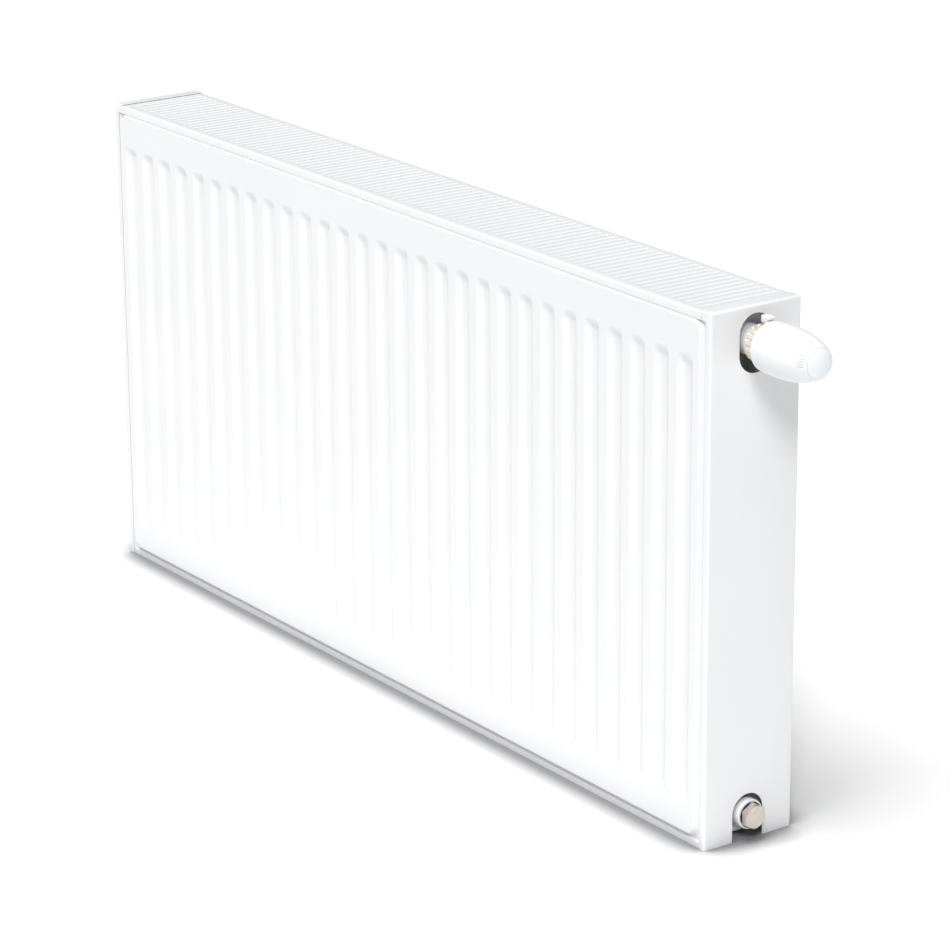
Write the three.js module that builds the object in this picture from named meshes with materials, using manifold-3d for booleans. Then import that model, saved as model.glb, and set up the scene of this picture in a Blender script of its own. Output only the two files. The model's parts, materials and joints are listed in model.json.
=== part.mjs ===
// Steel panel radiator with two water panels, two convectors and an integrated thermostatic valve.
// Millimetres, +Z up. X runs along the length (valve end at +X), Y through the depth (wall side at +Y).
import * as THREE from 'three';
import { mergeVertices } from 'three/addons/utils/BufferGeometryUtils.js';
import Module from 'manifold-3d';

const wasm = await Module();
wasm.setup();

// ---------------------------------------------------------------- driving dimensions
const LENGTH = 1000;
const HEIGHT = 500;
const HALF = LENGTH / 2;
const GAP = 0.3;                       // clearance between pieces that touch

const FRONT_CREST_Y = -51.5;           // outermost face of the front water panel
const REAR_CREST_Y = 49.5;             // outermost face of the rear water panel
const CHANNEL_PITCH = 33.333;
const CHANNELS = 30;
const CHANNEL_BULGE = 4.5;             // crest height of a sheet above its weld plane
const SHEET = 1.2;
const PANEL_THICKNESS = 2 * (CHANNEL_BULGE + SHEET) + GAP;
const PANEL_HALF_LENGTH = 497;         // the weld flange reaches in behind the covers
const CREST_HALF_LENGTH = 487;
const PANEL_TOP = 496.5;
const CREST_TOP = 489.5;
const CREST_BOTTOM = 10;
const EDGE_RUN = 3;                    // how far a crest edge leans out over its depth
const GROOVE_HALF = 11;
const GROOVE_FLOOR_HALF = 5;
const GROOVE_END_RUN = 9;
const OUTER_GROOVE = { bottom: 38, top: 458 };
const INNER_GROOVE = { bottom: 55, top: 445 };

const COVER_SHEET = 1;
const COVER_FRONT_Y = -50;
const COVER_REAR_Y = 51;
const COVER_SIDE_FLANGE = 7;
const COVER_TOP_FLANGE = 12.6;
const COVER_BEND = 4;
const SLOT = { width: 36, bottom: 438.5, top: 492.5 };
const NOTCH = { width: 35, top: 44 };

const GRILLE_HALF_LENGTH = 486;
const GRILLE_TOP = 498.8;
const GRILLE_SHEET = 0.8;
const GRILLE_LIP_BOTTOM = 491.3;
const LOUVRE_PITCH = 10;
const LOUVRES = 96;
const LOUVRE_WIDTH = 3.6;
const LOUVRE_LENGTH = 82;
const STAY_TOP = 495.6;                // the stays and the clip run below the louvres' pressed lips

const CONVECTOR = { sheet: 0.6, depth: 30, bottom: 60, top: 440, waves: 26, land: 5, farLand: 6.5 };

const AXIS_Y = 0;                      // every connection lies in this plane
const TOP_PORT_Z = 475;
const BOTTOM_PORT_Z = 25;
const PORT_X = 475;
const BOSS_REACH = 504;                // bushes stand proud of the side covers
const BOSS_R = 14;
const THREAD_R = 10.7;                 // G 1/2 female
const TEE_R = 13;
const WATERWAY_R = 9;
const PORT_HOLE_R = 8;                 // holes in the inner sheets behind the tees
const VALVE_Z = 467;
const VALVE_TUBE_X = 450;
const RISER = { x: 425, r: 9, bore: 7.8, top: 440, socket: 21 };
const NIPPLE = { r: 13.2, bore: 8, bottom: 4, top: 30 };
const LUG = { x: 400, top: 430, bottom: 70, halfWidth: 27, halfHeight: 20, face: 51.5 };

// ---------------------------------------------------------------- materials
const finish = (color, roughness, metalness) => ({ color, roughness, metalness });
const WHITE_STEEL = finish(0xf2f3f4, 0.35, 0.0);
const NICKEL = finish(0xb9aea0, 0.3, 0.9);
const BRASS = finish(0xb8924a, 0.35, 0.9);
const SPRING_STEEL = finish(0x9fa3a8, 0.3, 0.95);
const WHITE_PLASTIC = finish(0xf4f5f6, 0.4, 0.0);
const GREY_PLASTIC = finish(0xd5dbe2, 0.45, 0.0);
const RED_PLASTIC = finish(0xb23a30, 0.5, 0.0);
const BLACK_RUBBER = finish(0x1c1c1d, 0.8, 0.0);

// ---------------------------------------------------------------- solids
function toSolid(geometry, matrix) {
  const bare = geometry.index ? geometry.toNonIndexed() : geometry.clone();
  bare.deleteAttribute('normal');
  bare.deleteAttribute('uv');
  if (matrix) bare.applyMatrix4(matrix);
  const merged = mergeVertices(bare, 1e-4);
  return new wasm.Manifold(new wasm.Mesh({
    numProp: 3,
    vertProperties: new Float32Array(merged.attributes.position.array),
    triVerts: new Uint32Array(merged.index.array),
  }));
}

function toGeometry(solid) {
  const mesh = solid.getMesh();
  const geometry = new THREE.BufferGeometry();
  geometry.setAttribute('position', new THREE.BufferAttribute(mesh.vertProperties, 3));
  geometry.setIndex(new THREE.BufferAttribute(mesh.triVerts, 1));
  geometry.computeVertexNormals();
  return geometry;
}

const shift = (x, y, z) => new THREE.Matrix4().makeTranslation(x, y, z);
const turnToX = new THREE.Matrix4().makeRotationZ(-Math.PI / 2);
const turnToZ = new THREE.Matrix4().makeRotationX(Math.PI / 2);
const alongX = (x, y, z) => shift(x, y, z).multiply(turnToX);
const alongZ = (x, y, z) => shift(x, y, z).multiply(turnToZ);

function box(x0, x1, y0, y1, z0, z1) {
  const geometry = new THREE.BoxGeometry(x1 - x0, y1 - y0, z1 - z0);
  return toSolid(geometry, shift((x0 + x1) / 2, (y0 + y1) / 2, (z0 + z1) / 2));
}

function rodX(x0, x1, r, y, z, segments = 20) {
  return toSolid(new THREE.CylinderGeometry(r, r, x1 - x0, segments), alongX((x0 + x1) / 2, y, z));
}

function rodY(y0, y1, r, x, z, segments = 20) {
  return toSolid(new THREE.CylinderGeometry(r, r, y1 - y0, segments), shift(x, (y0 + y1) / 2, z));
}

function rodZ(z0, z1, r, x, y, segments = 20) {
  return toSolid(new THREE.CylinderGeometry(r, r, z1 - z0, segments), alongZ(x, y, (z0 + z1) / 2));
}

// A turned piece about the X axis: the profile lists [station, radius] pairs round a closed outline.
function turnedX(profile, x, y, z, segments = 20) {
  const points = profile.map(([station, radius]) => new THREE.Vector2(radius, station));
  points.push(points[0].clone());
  return toSolid(new THREE.LatheGeometry(points, segments), alongX(x, y, z));
}

// A six-sided bar along X.
const hexX = (x0, x1, acrossFlats, y, z) => rodX(x0, x1, acrossFlats / Math.sqrt(3), y, z, 6);

const union = (...solids) => solids.reduce((a, b) => a.add(b));
const cut = (solid, ...tools) => tools.reduce((a, b) => a.subtract(b), solid);

// A rectangular pad in the XZ plane whose faces lean between two depths.
function taperedPad(near, far, yNear, yFar) {
  const corner = (r, y) => [r.x0, y, r.z0, r.x1, y, r.z0, r.x1, y, r.z1, r.x0, y, r.z1];
  const geometry = new THREE.BufferGeometry();
  const positions = new Float32Array([...corner(near, yNear), ...corner(far, yFar)]);
  const quads = [[0, 1, 2, 3], [5, 4, 7, 6], [1, 0, 4, 5], [2, 1, 5, 6], [3, 2, 6, 7], [0, 3, 7, 4]];
  const outward = yNear < yFar;
  const triangles = quads.flatMap(([a, b, c, d]) => (outward ? [a, b, c, a, c, d] : [a, c, b, a, d, c]));
  geometry.setAttribute('position', new THREE.BufferAttribute(positions, 3));
  geometry.setIndex(triangles);
  return toSolid(geometry);
}

const rect = (x0, x1, z0, z1) => ({ x0, x1, z0, z1 });
const grown = (r, by) => rect(r.x0 - by, r.x1 + by, r.z0 - by, r.z1 + by);

// ---------------------------------------------------------------- water panels
// One pressed sheet. Its crest plane is at crestY and it sinks towards `inward` (+1 or -1 in Y).
function pressedSheet(crestY, inward, groove, ports = []) {
  const at = (depth) => crestY + inward * depth;
  const weld = CHANNEL_BULGE;
  const crest = rect(-CREST_HALF_LENGTH, CREST_HALF_LENGTH, CREST_BOTTOM, CREST_TOP);
  const wall = SHEET * 0.9;            // thickness of the leaning walls, measured in the XZ plane

  const dish = taperedPad(crest, grown(crest, EDGE_RUN), at(0), at(weld));
  const flange = box(-PANEL_HALF_LENGTH, PANEL_HALF_LENGTH,
    Math.min(at(weld), at(weld + SHEET)), Math.max(at(weld), at(weld + SHEET)), 0, PANEL_TOP);
  const hollow = taperedPad(grown(crest, -wall), grown(crest, EDGE_RUN - wall),
    at(SHEET), at(weld + SHEET + 0.01));

  const pockets = [];
  const ribs = [];
  for (let n = 1; n < CHANNELS; n += 1) {
    const x = n * CHANNEL_PITCH - HALF;
    const mouth = rect(x - GROOVE_HALF, x + GROOVE_HALF, groove.bottom, groove.top);
    const floor = rect(x - GROOVE_FLOOR_HALF, x + GROOVE_FLOOR_HALF,
      groove.bottom + GROOVE_END_RUN, groove.top - GROOVE_END_RUN);
    pockets.push(taperedPad(grown(mouth, 0.01), floor, at(-0.01), at(weld)));
    ribs.push(taperedPad(grown(mouth, wall), grown(floor, wall), at(SHEET - 0.01), at(weld + SHEET)));
  }
  const ribbedHollow = cut(hollow, wasm.Manifold.union(ribs));
  const holes = ports.map(([x, z]) => rodY(at(0) - 8, at(0) + 8, PORT_HOLE_R, x, z, 16));
  return cut(union(dish, flange), ribbedHollow, wasm.Manifold.union(pockets), ...holes);
}

const waterPorts = [
  [-PORT_X, TOP_PORT_Z], [-PORT_X, BOTTOM_PORT_Z], [PORT_X, BOTTOM_PORT_Z], [VALVE_TUBE_X, VALVE_Z],
];
const frontInnerY = FRONT_CREST_Y + PANEL_THICKNESS;
const rearInnerY = REAR_CREST_Y - PANEL_THICKNESS;

// ---------------------------------------------------------------- convectors
// A folded sheet: flat lands on the water panel, fins standing off it, one wave per channel.
function convector(panelY, outward) {
  const { sheet, depth, waves, land, farLand, bottom, top } = CONVECTOR;
  const y0 = panelY + outward * GAP;
  const y1 = y0 + outward * depth;
  const inner = [];
  const outer = [];
  for (let n = 0; n < waves; n += 1) {
    const x = (n + 0.5) * CHANNEL_PITCH - HALF;
    const next = x + CHANNEL_PITCH / 2;
    inner.push([x - land, y0], [x + land, y0], [next - farLand, y1 - outward * sheet],
      [next + farLand, y1 - outward * sheet]);
    outer.push([x - land + sheet, y0 + outward * sheet], [x + land - sheet, y0 + outward * sheet],
      [next - farLand - sheet, y1], [next + farLand + sheet, y1]);
  }
  const outline = [...inner, ...outer.reverse()].map(([x, y]) => new THREE.Vector2(x, y));
  const shape = new THREE.Shape(outline);
  return toSolid(new THREE.ExtrudeGeometry(shape, { depth: top - bottom, bevelEnabled: false }),
    shift(0, 0, bottom));
}

// ---------------------------------------------------------------- casing
// Plan outline of a cover's outer or inner skin, rounded at the two vertical bends.
function coverPlan(inset, reach, radius) {
  const x1 = HALF - inset;
  const y0 = COVER_FRONT_Y + inset;
  const y1 = COVER_REAR_Y - inset;
  const shape = new THREE.Shape();
  shape.moveTo(HALF - reach, y0);
  shape.lineTo(x1 - radius, y0);
  shape.absarc(x1 - radius, y0 + radius, radius, -Math.PI / 2, 0, false);
  shape.lineTo(x1, y1 - radius);
  shape.absarc(x1 - radius, y1 - radius, radius, 0, Math.PI / 2, false);
  shape.lineTo(HALF - reach, y1);
  return shape;
}

// Front elevation of the same skin, rounded where the side bends into the top.
function coverElevation(inset, reach, radius, bottom) {
  const x1 = HALF - inset;
  const z1 = HEIGHT - inset;
  const shape = new THREE.Shape();
  shape.moveTo(HALF - reach, bottom);
  shape.lineTo(x1, bottom);
  shape.lineTo(x1, z1 - radius);
  shape.absarc(x1 - radius, z1 - radius, radius, 0, Math.PI / 2, false);
  shape.lineTo(HALF - reach, z1);
  return shape;
}

function coverBlock(inset, reach, bottom) {
  const radius = COVER_BEND - inset;
  const plan = new THREE.ExtrudeGeometry(coverPlan(inset, reach, radius),
    { depth: HEIGHT + 20, bevelEnabled: false, curveSegments: 4 });
  const side = new THREE.ExtrudeGeometry(coverElevation(inset, reach, radius, bottom),
    { depth: 140, bevelEnabled: false, curveSegments: 4 });
  return toSolid(plan, shift(0, 0, -10)).intersect(
    toSolid(side, shift(0, 70, 0).multiply(turnToZ)));
}

// The cover for the valve end: a folded tray with an opening for the valve and one for the plug.
function sideCover() {
  const skin = coverBlock(0, COVER_TOP_FLANGE, 0);
  const inside = coverBlock(COVER_SHEET, COVER_TOP_FLANGE + 1, -1);
  const trim = box(HALF - COVER_TOP_FLANGE - 1, HALF - COVER_SIDE_FLANGE, -70, 70,
    -1, GRILLE_LIP_BOTTOM + GAP);
  const slotR = SLOT.width / 2;
  const slot = union(
    rodX(HALF - 3, HALF + 3, slotR, AXIS_Y, SLOT.top - slotR, 32),
    rodX(HALF - 3, HALF + 3, slotR, AXIS_Y, SLOT.bottom + slotR, 32),
    box(HALF - 3, HALF + 3, AXIS_Y - slotR, AXIS_Y + slotR, SLOT.bottom + slotR, SLOT.top - slotR));
  const notchR = NOTCH.width / 2;
  const notch = union(
    rodX(HALF - 3, HALF + 3, notchR, AXIS_Y, NOTCH.top - notchR, 32),
    box(HALF - 3, HALF + 3, AXIS_Y - notchR, AXIS_Y + notchR, -5, NOTCH.top - notchR));
  return cut(skin, inside, trim, slot, notch);
}

function topGrille() {
  const z0 = GRILLE_TOP - GRILLE_SHEET;
  const plate = box(-GRILLE_HALF_LENGTH, GRILLE_HALF_LENGTH, COVER_FRONT_Y, COVER_REAR_Y,
    GRILLE_LIP_BOTTOM, GRILLE_TOP);
  const under = box(-GRILLE_HALF_LENGTH - 1, GRILLE_HALF_LENGTH + 1, COVER_FRONT_Y + GRILLE_SHEET,
    COVER_REAR_Y - GRILLE_SHEET, GRILLE_LIP_BOTTOM - 1, z0);
  const slots = [];
  for (let n = 0; n < LOUVRES; n += 1) {
    const x = (n - (LOUVRES - 1) / 2) * LOUVRE_PITCH;
    slots.push(box(x - LOUVRE_WIDTH / 2, x + LOUVRE_WIDTH / 2, -LOUVRE_LENGTH / 2, LOUVRE_LENGTH / 2,
      z0 - 1, GRILLE_TOP + 1));
  }
  return cut(plate, under, wasm.Manifold.union(slots));
}

function grilleStay(y) {
  const reach = GRILLE_HALF_LENGTH - 6;
  return box(-reach, reach, y - 2, y + 2, STAY_TOP - GRILLE_SHEET, STAY_TOP);
}

// Bent spring strip: a bridge under the grille bars, legs sprung between the two convectors.
function grilleClip() {
  const y0 = frontInnerY + CONVECTOR.depth + 2 * GAP;
  const y1 = rearInnerY - CONVECTOR.depth - 2 * GAP;
  const outside = box(-8, 8, y0, y1, CONVECTOR.top - 18, STAY_TOP);
  const inside = box(-9, 9, y0 + GRILLE_SHEET, y1 - GRILLE_SHEET, CONVECTOR.top - 19,
    STAY_TOP - GRILLE_SHEET);
  return cut(outside, inside);
}

// ---------------------------------------------------------------- connections
function portTee(side, z) {
  const x = side * PORT_X;
  const reach = side * BOSS_REACH;
  const tube = rodY(frontInnerY + GAP, rearInnerY - GAP, TEE_R, x, z);
  const boss = rodX(Math.min(x, reach), Math.max(x, reach), BOSS_R, AXIS_Y, z, 24);
  const bore = rodY(frontInnerY - 1, rearInnerY + 1, WATERWAY_R, x, z, 16);
  const socketEnd = reach + side;
  const socket = rodX(Math.min(x, socketEnd), Math.max(x, socketEnd), THREAD_R, AXIS_Y, z);
  return { body: union(tube, boss), hollow: union(bore, socket) };
}

function returnTee() {
  const { body, hollow } = portTee(1, BOTTOM_PORT_Z);
  const nipple = rodZ(NIPPLE.bottom, BOTTOM_PORT_Z, NIPPLE.r, PORT_X, AXIS_Y);
  const passage = rodZ(NIPPLE.bottom - 1, BOTTOM_PORT_Z, NIPPLE.bore, PORT_X, AXIS_Y, 16);
  return cut(union(body, nipple), hollow, passage);
}

function plainTee(side, z) {
  const { body, hollow } = portTee(side, z);
  return cut(body, hollow);
}

// The X span between two distances measured outwards from a bush's face.
const outwards = (side, a, b) => [a, b].map((d) => side * (BOSS_REACH + d)).sort((m, n) => m - n);

// A hexagon-headed plug; its seal ring sits between the bush and the head.
function blindPlug(side, z) {
  const thread = rodX(...outwards(side, -11, 1.9), THREAD_R - GAP, AXIS_Y, z);
  const head = hexX(...outwards(side, 1.9, 8), 22, AXIS_Y, z);
  const socket = rodX(...outwards(side, -12, -3), 8, AXIS_Y, z, 16);
  return cut(union(thread, head), socket);
}

function plugSeal(side, z) {
  const ring = rodX(...outwards(side, GAP, 1.6), 12.3, AXIS_Y, z);
  return cut(ring, rodX(...outwards(side, 0, 1.9), THREAD_R, AXIS_Y, z));
}

function flowNipple() {
  const tube = rodZ(NIPPLE.bottom, NIPPLE.top, NIPPLE.r, RISER.x, AXIS_Y);
  const passage = rodZ(NIPPLE.bottom - 1, RISER.socket, NIPPLE.bore, RISER.x, AXIS_Y, 16);
  const socket = rodZ(RISER.socket - 1, NIPPLE.top + 1, RISER.r + GAP, RISER.x, AXIS_Y, 16);
  return cut(tube, passage, socket);
}

function riserPipe() {
  const pipe = rodZ(RISER.socket + GAP, RISER.top - GAP, RISER.r, RISER.x, AXIS_Y, 16);
  return cut(pipe, rodZ(RISER.socket, RISER.top, RISER.bore, RISER.x, AXIS_Y, 16));
}

// ---------------------------------------------------------------- valve
const VALVE = {
  seat: -60,                           // seat face, measured from the cover plane
  bodyR: 10.4,
  collarR: 14.6,
  cartridgeR: 8.3,
};

function valveHousing() {
  const tube = rodY(frontInnerY + GAP, rearInnerY - GAP, TEE_R, VALVE_TUBE_X, VALVE_Z);
  const barrel = rodX(HALF - 90, BOSS_REACH, BOSS_R, AXIS_Y, VALVE_Z, 24);
  const neck = rodZ(RISER.top, VALVE_Z, 11.5, RISER.x, AXIS_Y);
  const cross = rodY(frontInnerY - 1, rearInnerY + 1, WATERWAY_R, VALVE_TUBE_X, VALVE_Z, 16);
  const socket = rodX(HALF + VALVE.seat, BOSS_REACH + 1, THREAD_R, AXIS_Y, VALVE_Z);
  const orifice = rodX(HALF - 66, HALF + VALVE.seat + 1, 5, AXIS_Y, VALVE_Z, 16);
  const chamber = rodX(HALF - 86, HALF - 65, WATERWAY_R, AXIS_Y, VALVE_Z, 16);
  const inlet = rodZ(RISER.top - 1, VALVE_Z, WATERWAY_R, RISER.x, AXIS_Y, 16);
  return cut(union(tube, barrel, neck), cross, socket, orifice, chamber, inlet);
}

function valveInsert() {
  const { bodyR, collarR, cartridgeR } = VALVE;
  return turnedX([
    [-40, cartridgeR + GAP], [-40, bodyR], [4 + GAP, bodyR], [4 + GAP, 13], [8, 13], [8, collarR],
    [14.3, collarR], [14.3, cartridgeR + GAP],
  ], HALF, AXIS_Y, VALVE_Z);
}

function presetCartridge() {
  const { cartridgeR } = VALVE;
  const sleeve = turnedX([
    [-59, 6.6], [-59, cartridgeR], [14, cartridgeR], [14, 6.2], [-30, 6.2], [-30, 3], [-33, 3], [-33, 6.6],
  ], HALF, AXIS_Y, VALVE_Z);
  const window = rodY(-12, 12, 5, HALF - 46, VALVE_Z, 12);
  const dialMark = box(HALF + 12.6, HALF + 15, -0.8, 0.8, VALVE_Z + 6.8, VALVE_Z + 9);
  return cut(sleeve, window, dialMark);
}

function stemGland() {
  return turnedX([[5, 2.7], [5, 5.9], [15.5, 5.9], [15.5, 2.7]], HALF, AXIS_Y, VALVE_Z, 16);
}

function valveStem() {
  return turnedX([
    [-54, 0], [-54, 5.4], [-52, 5.4], [-52, 2.4], [-6, 2.4], [-6, 5.6], [-4.6, 5.6], [-4.6, 2.4],
    [18.5, 2.4], [18.5, 0],
  ], HALF, AXIS_Y, VALVE_Z, 16);
}

function sealCone() {
  return turnedX([[-57.8, 0], [-57.8, 6], [-54 - GAP, 6], [-54 - GAP, 0]], HALF, AXIS_Y, VALVE_Z, 20);
}

// A round-wire compression spring along X.
class Helix extends THREE.Curve {
  constructor(x0, x1, radius, turns) {
    super();
    Object.assign(this, { x0, x1, radius, turns });
  }

  getPoint(t, target = new THREE.Vector3()) {
    const angle = 2 * Math.PI * this.turns * t;
    const x = this.x0 + (this.x1 - this.x0) * t;
    return target.set(x, this.radius * Math.cos(angle), this.radius * Math.sin(angle));
  }
}

function spring(x0, x1, radius, wire, turns) {
  const section = new THREE.Shape();
  section.absarc(0, 0, wire / 2, 0, 2 * Math.PI, false);
  const path = new Helix(x0 + wire / 2, x1 - wire / 2, radius, turns);
  const geometry = new THREE.ExtrudeGeometry(section, {
    steps: Math.round(turns * 10), extrudePath: path, curveSegments: 3, bevelEnabled: false,
  });
  return toSolid(geometry, shift(HALF, AXIS_Y, VALVE_Z));
}

// ---------------------------------------------------------------- thermostatic head
const HEAD = { baseStart: 19, baseEnd: 29, capStart: 85, nose: 89, wall: 2, segments: 28 };

// Outer radius of the head at a station along its axis: a full belly that closes like an ellipse.
function headRadius(station) {
  const belly = 42;
  const fullR = 23.8;
  if (station < belly) {
    const t = (belly - station) / (belly - HEAD.baseStart);
    return fullR - 1.3 * t * t;
  }
  const t = (station - belly) / 54;
  return fullR * Math.sqrt(1 - t * t);
}

const stations = (from, to, count) => (
  Array.from({ length: count + 1 }, (_, n) => from + ((to - from) * n) / count));

function unionNut() {
  const nut = turnedX([
    [4 + 2 * GAP, 15], [4 + 2 * GAP, 17], [18, 17], [18, 12.4], [16.6, 12.4], [16.6, 15],
  ], HALF, AXIS_Y, VALVE_Z, 24);
  const flutes = [];
  const count = 12;
  for (let n = 0; n < count; n += 1) {
    const angle = ((n + 0.5) * 2 * Math.PI) / count;
    flutes.push(rodX(HALF + 5.6, HALF + 16.8, 1.2, AXIS_Y + 17.3 * Math.cos(angle),
      VALVE_Z + 17.3 * Math.sin(angle), 6));
  }
  return cut(nut, wasm.Manifold.union(flutes));
}

// Fixed base: flange held by the union nut, outer collar, and the guide tube for the sensor.
function headBase() {
  const r0 = headRadius(HEAD.baseStart);
  const r1 = headRadius(HEAD.baseEnd);
  const base = turnedX([
    [15, 7], [15, 14.5], [16.3, 14.5], [16.3, 12], [HEAD.baseStart, 12], [HEAD.baseStart, r0 - 0.8],
    [HEAD.baseStart + 0.8, r0], [HEAD.baseEnd, r1], [HEAD.baseEnd, r1 - 2], [22, r1 - 2], [22, 17],
    [62, 17], [62, 15.4], [22, 15.4], [22, 7],
  ], HALF, AXIS_Y, VALVE_Z, HEAD.segments);
  const slots = [0, 1, 2].map((n) => box(HALF + 34, HALF + 56, -2, 2, 10, 22)
    .rotate([120 * n, 0, 0]).translate([0, AXIS_Y, VALVE_Z]));
  return cut(base, ...slots);
}

// The latch on top of the base, pointing back over the nut.
function baseLatch() {
  const seat = VALVE_Z + headRadius(HEAD.baseEnd) + GAP;
  return box(HALF + 9.5, HALF + 22, -4.5, 4.5, seat, seat + 4);
}

function headHandle() {
  const start = HEAD.baseEnd + GAP;
  const end = HEAD.capStart - GAP;
  const outer = stations(start, end, 8).map((s) => [s, headRadius(s)]);
  const inner = stations(start, end - 2, 4).reverse().map((s) => [s, headRadius(s + 1) - HEAD.wall]);
  const lip = [[end, 9.5], [end - 2, 9.5]];
  const shell = turnedX([...outer, ...lip, ...inner], HALF, AXIS_Y, VALVE_Z, HEAD.segments);
  const ticks = [];
  for (let n = 0; n < 5; n += 1) {
    const angle = (151 + n * 8) * Math.PI / 180;
    const r = headRadius(79.5);
    const y = AXIS_Y + r * Math.cos(angle);
    const z = VALVE_Z + r * Math.sin(angle);
    ticks.push(rodX(HALF + 76.5, HALF + 82.5, 0.35, y, z, 6));
  }
  return cut(shell, wasm.Manifold.union(ticks));
}

function endCap() {
  const { capStart, nose } = HEAD;
  const rim = headRadius(capStart);
  return turnedX([
    [capStart, 0], [capStart, rim], [capStart + 1.6, rim - 1.4], [capStart + 3, rim - 4.6],
    [nose, rim - 9], [nose, 0],
  ], HALF, AXIS_Y, VALVE_Z, HEAD.segments);
}

function sensorElement() {
  return turnedX([
    [41, 0], [41, 9], [43, 9], [43, 14.8], [48, 14.8], [48, 12.4], [51, 12.4], [51, 14.8], [66, 14.8],
    [66, 12], [68, 12], [68, 0],
  ], HALF, AXIS_Y, VALVE_Z);
}

function pushPin() {
  return turnedX([
    [18.5 + GAP, 0], [18.5 + GAP, 3], [36, 3], [36, 6], [41 - GAP, 6], [41 - GAP, 0],
  ], HALF, AXIS_Y, VALVE_Z, 16);
}

// ---------------------------------------------------------------- air vent
const SPOUT = { station: 6.6, r: 1.9 };

function ventPlug() {
  return turnedX([
    [-11, 4.3], [-11, THREAD_R - GAP], [0.5, THREAD_R - GAP], [0.5, 12], [2, 12], [2, 10.4], [4.6, 10.4],
    [4.6, 4.3],
  ], 0, 0, 0);
}

function ventScrew() {
  return turnedX([[-9, 0], [-9, 2], [-7, 4], [5.6, 4], [5.6, 2.6], [8, 2.6], [8, 0]], 0, 0, 0, 16);
}

function ventNozzle() {
  const ring = turnedX([[4.9, 4.4], [4.9, 9.4], [8.4, 9.4], [8.4, 4.4]], 0, 0, 0);
  const spout = rodZ(-14, -8.4, SPOUT.r, SPOUT.station, 0, 12);
  const drain = rodZ(-15, -4, 0.9, SPOUT.station, 0, 8);
  return cut(union(ring, spout), drain);
}

// ---------------------------------------------------------------- hanging lugs
// A welded plate with a square window that a wall hook drops into.
function hangingLug(x, z) {
  const { halfWidth, halfHeight, face } = LUG;
  const y0 = REAR_CREST_Y + GAP;
  const plate = box(x - halfWidth, x + halfWidth, y0, face, z - halfHeight, z + halfHeight);
  const hookWindow = box(x - 9, x + 9, y0 - 1, face + 1, z - 8, z + 8);
  const chamfers = [-1, 1].flatMap((sx) => [-1, 1].map((sz) => {
    const corner = new THREE.Matrix4().makeRotationY(Math.PI / 4);
    corner.setPosition(x + sx * halfWidth, face, z + sz * halfHeight);
    return toSolid(new THREE.BoxGeometry(8, 8, 8), corner);
  }));
  return cut(plate, hookWindow, ...chamfers);
}

// ---------------------------------------------------------------- assembly
// The origin lies under the middle of the whole length, from the vent's spout to the head's nose.
const radiator = new THREE.Group();
const leftReach = BOSS_REACH + SPOUT.station + SPOUT.r;
radiator.position.set((leftReach - HALF - HEAD.nose) / 2, 0, 0);

function place(name, solid, material, parent = radiator) {
  const mesh = new THREE.Mesh(toGeometry(solid), new THREE.MeshStandardMaterial(material));
  mesh.name = name;
  parent.add(mesh);
  return mesh;
}

place('front_panel_outer_sheet', pressedSheet(FRONT_CREST_Y, 1, OUTER_GROOVE), WHITE_STEEL);
place('front_panel_inner_sheet', pressedSheet(frontInnerY, -1, INNER_GROOVE, waterPorts), WHITE_STEEL);
place('rear_panel_inner_sheet', pressedSheet(rearInnerY, 1, INNER_GROOVE, waterPorts), WHITE_STEEL);
place('rear_panel_outer_sheet', pressedSheet(REAR_CREST_Y, -1, OUTER_GROOVE), WHITE_STEEL);
place('front_convector', convector(frontInnerY, 1), WHITE_STEEL);
place('rear_convector', convector(rearInnerY, -1), WHITE_STEEL);

const rightCover = sideCover();
place('side_cover_right', rightCover, WHITE_STEEL);
place('side_cover_left', rightCover.mirror([1, 0, 0]), WHITE_STEEL);
place('top_grille', topGrille(), WHITE_STEEL);
place('grille_stay_front', grilleStay(-14), WHITE_STEEL);
place('grille_stay_rear', grilleStay(14), WHITE_STEEL);
place('grille_clip', grilleClip(), SPRING_STEEL);

place('top_left_tee', plainTee(-1, TOP_PORT_Z), WHITE_STEEL);
place('bottom_left_tee', plainTee(-1, BOTTOM_PORT_Z), WHITE_STEEL);
place('return_tee', returnTee(), WHITE_STEEL);
place('valve_housing', valveHousing(), WHITE_STEEL);
place('flow_nipple', flowNipple(), WHITE_STEEL);
place('riser_pipe', riserPipe(), WHITE_STEEL);

place('blind_plug_right', blindPlug(1, BOTTOM_PORT_Z), NICKEL);
place('blind_plug_left', blindPlug(-1, BOTTOM_PORT_Z), NICKEL);
place('plug_seal_right', plugSeal(1, BOTTOM_PORT_Z), BLACK_RUBBER);
place('plug_seal_left', plugSeal(-1, BOTTOM_PORT_Z), BLACK_RUBBER);

place('valve_insert', valveInsert(), BRASS);
place('preset_cartridge', presetCartridge(), RED_PLASTIC);
place('stem_gland', stemGland(), BRASS);
place('valve_stem', valveStem(), SPRING_STEEL);
place('seal_cone', sealCone(), BLACK_RUBBER);
place('stem_spring', spring(-29.6, -6.4, 4.6, 0.9, 5), SPRING_STEEL);

place('union_nut', unionNut(), NICKEL);
place('head_base', headBase(), WHITE_PLASTIC);
place('base_latch', baseLatch(), WHITE_PLASTIC);
place('head_handle', headHandle(), WHITE_PLASTIC);
place('end_cap', endCap(), GREY_PLASTIC);
place('sensor_element', sensorElement(), GREY_PLASTIC);
place('push_pin', pushPin(), WHITE_PLASTIC);
place('relief_spring', spring(68.4, 82.4, 10, 1.2, 3), SPRING_STEEL);

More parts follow.
